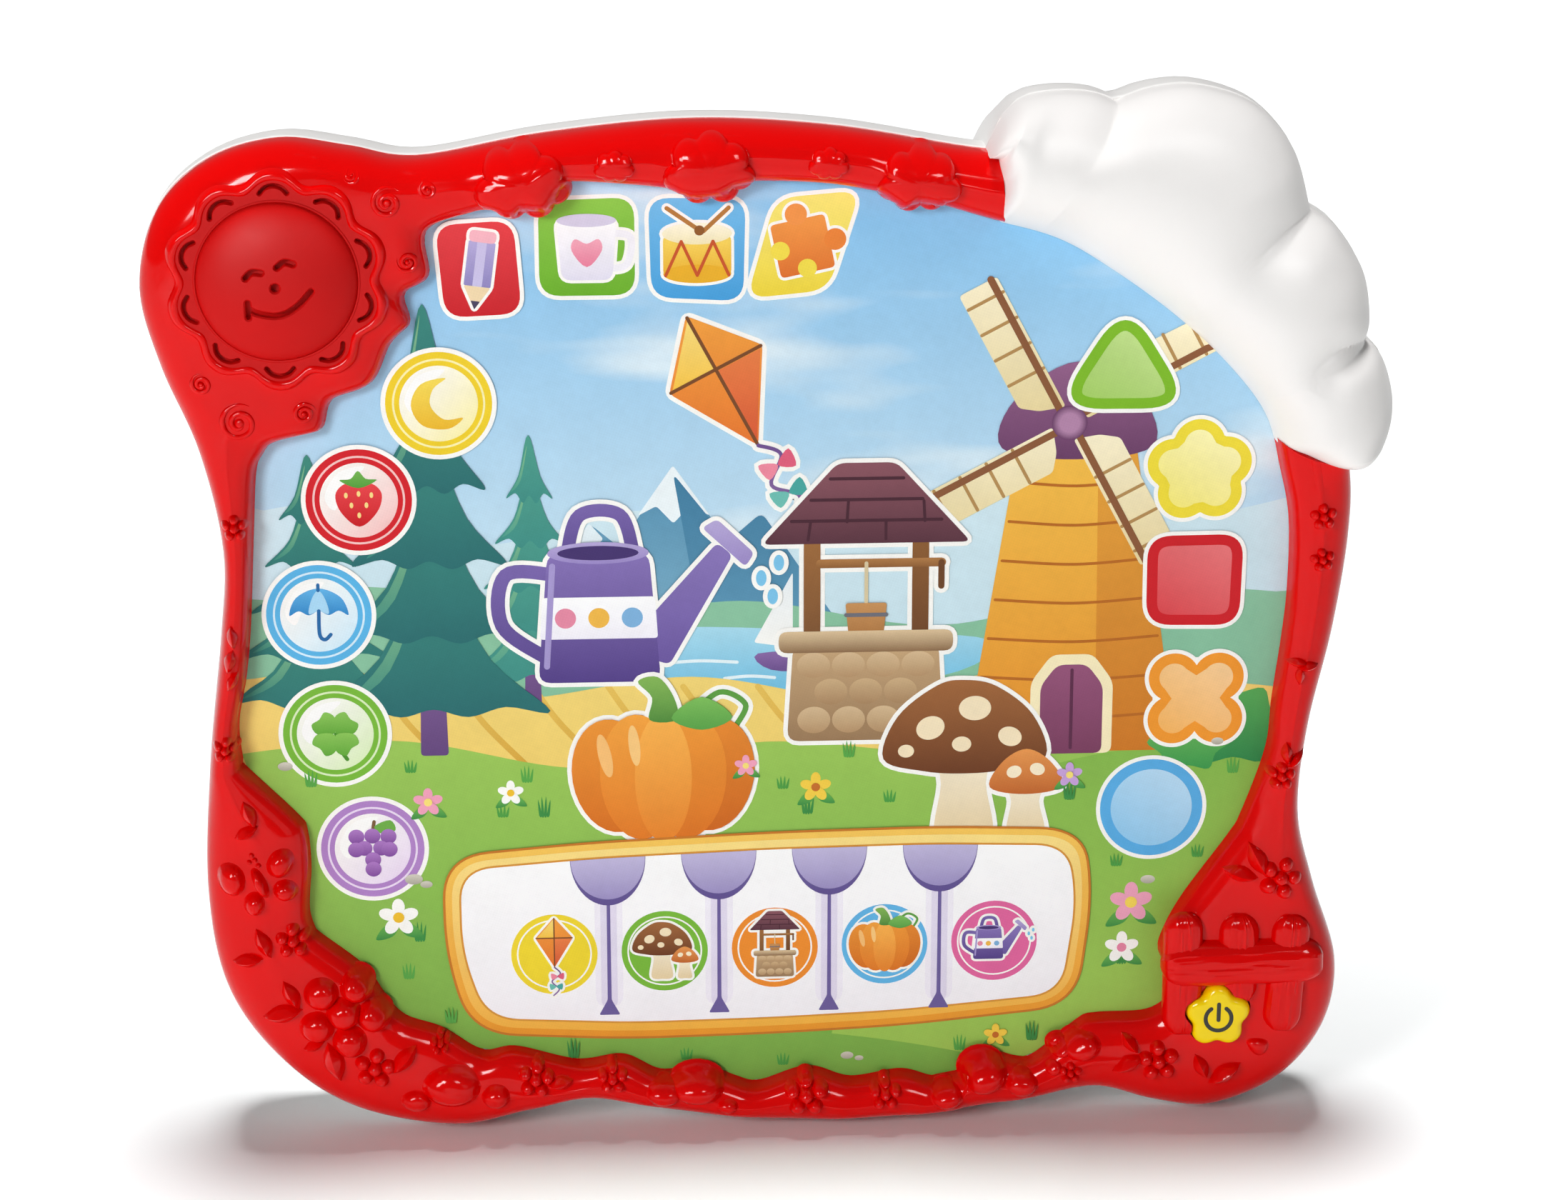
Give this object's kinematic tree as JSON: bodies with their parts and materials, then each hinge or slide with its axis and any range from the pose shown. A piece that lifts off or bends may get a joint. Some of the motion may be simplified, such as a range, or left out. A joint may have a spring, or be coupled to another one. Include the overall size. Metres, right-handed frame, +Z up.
{
  "type": "toy learning tablet",
  "caption": "Standing toy learning tablet: wavy red moulded frame with a cloud corner and sun speaker grille, printed touch panel, power button and rear battery door.",
  "frame": {"origin": "centre of the bounding box on the floor the toy stands on", "axes": "+Z up, +X to the viewer's right, -Y out of the printed front"},
  "size_m": [0.2946, 0.041, 0.2609],
  "materials": {
    "red_gloss": "gloss",
    "red_satin": "satin",
    "white_shell": "satin",
    "cloud_white": "satin",
    "print": "satin print",
    "film": "matte",
    "carbon": "matte",
    "inner_plastic": "matte",
    "button_yellow": "gloss",
    "black_plastic": "matte",
    "foam": "matte",
    "board": "satin",
    "sleeve": "gloss",
    "steel": "plated",
    "magnet": "plain",
    "cell": "satin",
    "wire_red": "matte",
    "wire_blue": "matte",
    "wire_yellow": "matte"
  },
  "bodies": {
    "case": {"front_frame": "red_gloss", "rear_shell": "white_shell", "cloud_cover": "cloud_white", "speaker_grille": "red_satin", "touch_overlay": "print", "touch_membrane": "film", "touch_pads": "carbon", "membrane_tail": "film", "panel_tray": "inner_plastic", "speaker_basket": "steel", "speaker_cone": "black_plastic", "speaker_magnet": "magnet", "speaker_gasket": "foam", "power_switch": "black_plastic", "switch_board": "board", "circuit_board": "board", "chip_blob": "black_plastic", "capacitor": "sleeve", "board_parts": "black_plastic", "tail_connector": "inner_plastic", "battery_box": "inner_plastic", "battery_cells": "cell", "battery_contacts": "steel", "battery_springs": "steel", "battery_leads": "wire_red", "speaker_leads": "wire_blue", "switch_leads": "wire_yellow", "case_screws": "steel", "tray_screws": "steel", "board_screws": "steel", "speaker_screws": "steel"},
    "power_button": {"power_button": "button_yellow", "switch_plunger": "black_plastic"},
    "battery_door": {"battery_door": "white_shell", "door_screw": "steel"}
  },
  "joints": [
    {"name": "power_button_press", "type": "slide", "parent": "case", "child": "power_button", "axis": [0, 1, 0], "range_m": [0, 0.0012], "stiffness_N_per_m": 400},
    {"name": "battery_door_off", "type": "slide", "parent": "case", "child": "battery_door", "axis": [0, 1, 0], "range_m": [0, 0.03]}
  ]
}
